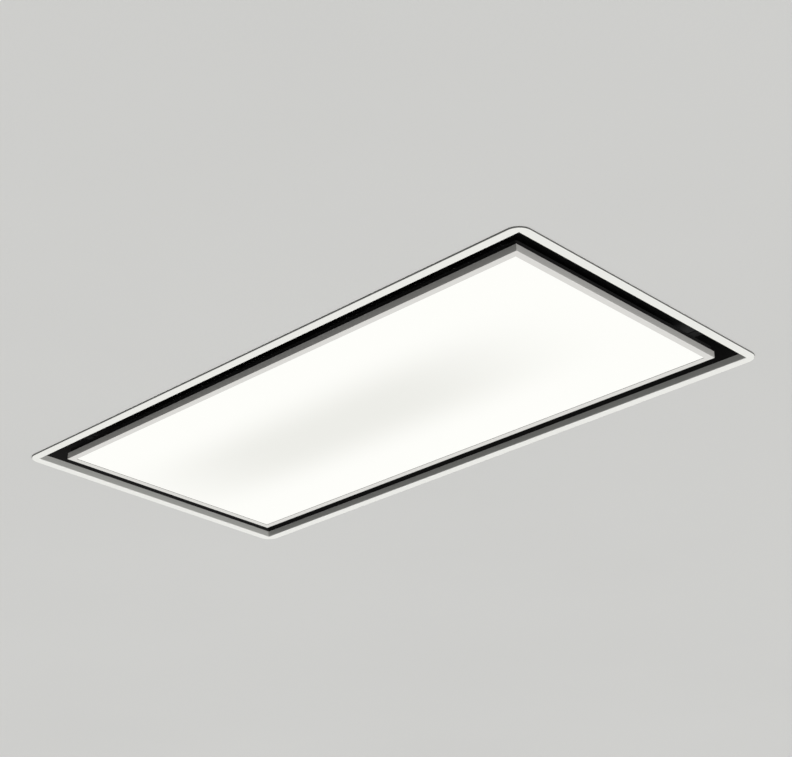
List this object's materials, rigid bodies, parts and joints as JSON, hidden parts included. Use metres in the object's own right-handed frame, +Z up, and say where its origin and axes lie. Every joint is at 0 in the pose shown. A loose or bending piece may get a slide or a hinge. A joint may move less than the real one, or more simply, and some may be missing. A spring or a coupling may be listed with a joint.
{
  "type": "ceiling range hood",
  "caption": "Flush ceiling range hood: rectangular white trim, suction slot round a hinged light panel, filters, blower and duct outlet in a steel casing above.",
  "frame": {"origin": "centre of the ceiling opening, on the ceiling's surface: the plane of the flange's upper face", "axes": "+X along the hood's length, +Y towards the edge that the light panel is hinged at, +Z up into the ceiling"},
  "size_m": [1, 0.5, 0.382],
  "materials": {
    "white_paint": "satin",
    "grey_paint": "satin",
    "black_paint": "matt",
    "galvanised_steel": "spangled zinc",
    "zinc_steel": "zinc plated",
    "screw_zinc": "bright zinc",
    "magnet": "nickel plated",
    "aluminium": "satin",
    "aluminium_mesh": "expanded mesh",
    "dark_plastic": "moulded",
    "blower_steel": "galvanised sheet",
    "white_plastic": "moulded",
    "motor_paint": "satin",
    "board": "circuit board",
    "lit_diffuser": "opal, lit from its edges"
  },
  "bodies": {
    "hood": {"trim_frame": "white_paint", "plenum_collar": "black_paint", "casing_front": "galvanised_steel", "casing_rear": "galvanised_steel", "casing_left": "galvanised_steel", "casing_right": "galvanised_steel", "casing_top": "galvanised_steel", "filter_deck": "black_paint", "filter_frame_left": "aluminium", "filter_frame_right": "aluminium", "filter_mesh_left": "aluminium_mesh", "filter_mesh_right": "aluminium_mesh", "hinge_bracket_left": "black_paint", "hinge_bracket_right": "black_paint", "catch_bracket_left": "black_paint", "catch_bracket_right": "black_paint", "catch_magnets": "magnet", "scroll_wrapper": "galvanised_steel", "scroll_plate_front": "galvanised_steel", "scroll_plate_rear": "galvanised_steel", "motor": "motor_paint", "motor_spider": "zinc_steel", "duct_collar": "dark_plastic", "flap_pin": "zinc_steel", "control_box": "zinc_steel", "control_cover": "zinc_steel", "control_board": "board", "led_driver": "white_plastic", "cable_gland": "dark_plastic", "suspension_bracket_front_left": "galvanised_steel", "suspension_bracket_front_right": "galvanised_steel", "suspension_bracket_rear_left": "galvanised_steel", "suspension_bracket_rear_right": "galvanised_steel", "casing_screws": "screw_zinc", "bracket_screws": "screw_zinc", "collar_screws": "screw_zinc"},
    "light_panel": {"panel_frame": "grey_paint", "diffuser": "lit_diffuser", "panel_tray": "black_paint", "reflector": "white_plastic", "led_strips": "board", "hinge_leaf_left": "zinc_steel", "hinge_leaf_right": "zinc_steel", "hinge_pins": "zinc_steel", "strike_plates": "zinc_steel"},
    "filter_latch_left": {"filter_latch_left": "dark_plastic"},
    "filter_latch_right": {"filter_latch_right": "dark_plastic"},
    "impeller": {"impeller_disc": "blower_steel", "impeller_blades": "blower_steel", "impeller_rings": "blower_steel", "motor_shaft": "zinc_steel"},
    "flap_left": {"flap_left": "dark_plastic"},
    "flap_right": {"flap_right": "dark_plastic"}
  },
  "joints": [
    {"name": "panel_hinge", "type": "hinge", "parent": "hood", "child": "light_panel", "pos_m": [0, 0.19, 0.0248], "axis": [1, 0, 0], "range_deg": [0, 90]},
    {"name": "latch_left_slide", "type": "slide", "parent": "hood", "child": "filter_latch_left", "axis": [0, 1, 0], "range_m": [0, 0.006], "stiffness_N_per_m": 300, "springref_m": -0.002},
    {"name": "latch_right_slide", "type": "slide", "parent": "hood", "child": "filter_latch_right", "axis": [0, 1, 0], "range_m": [0, 0.006], "stiffness_N_per_m": 300, "springref_m": -0.002},
    {"name": "impeller_spin", "type": "hinge", "parent": "hood", "child": "impeller", "pos_m": [-0.09729, 0, 0.1944], "axis": [0, 1, 0], "continuous": true},
    {"name": "flap_left_swing", "type": "hinge", "parent": "hood", "child": "flap_left", "pos_m": [0, 0, 0.351], "axis": [0, 1, 0], "range_deg": [0, 80]},
    {"name": "flap_right_swing", "type": "hinge", "parent": "hood", "child": "flap_right", "pos_m": [0, 0, 0.351], "axis": [0, -1, 0], "range_deg": [0, 80]}
  ]
}
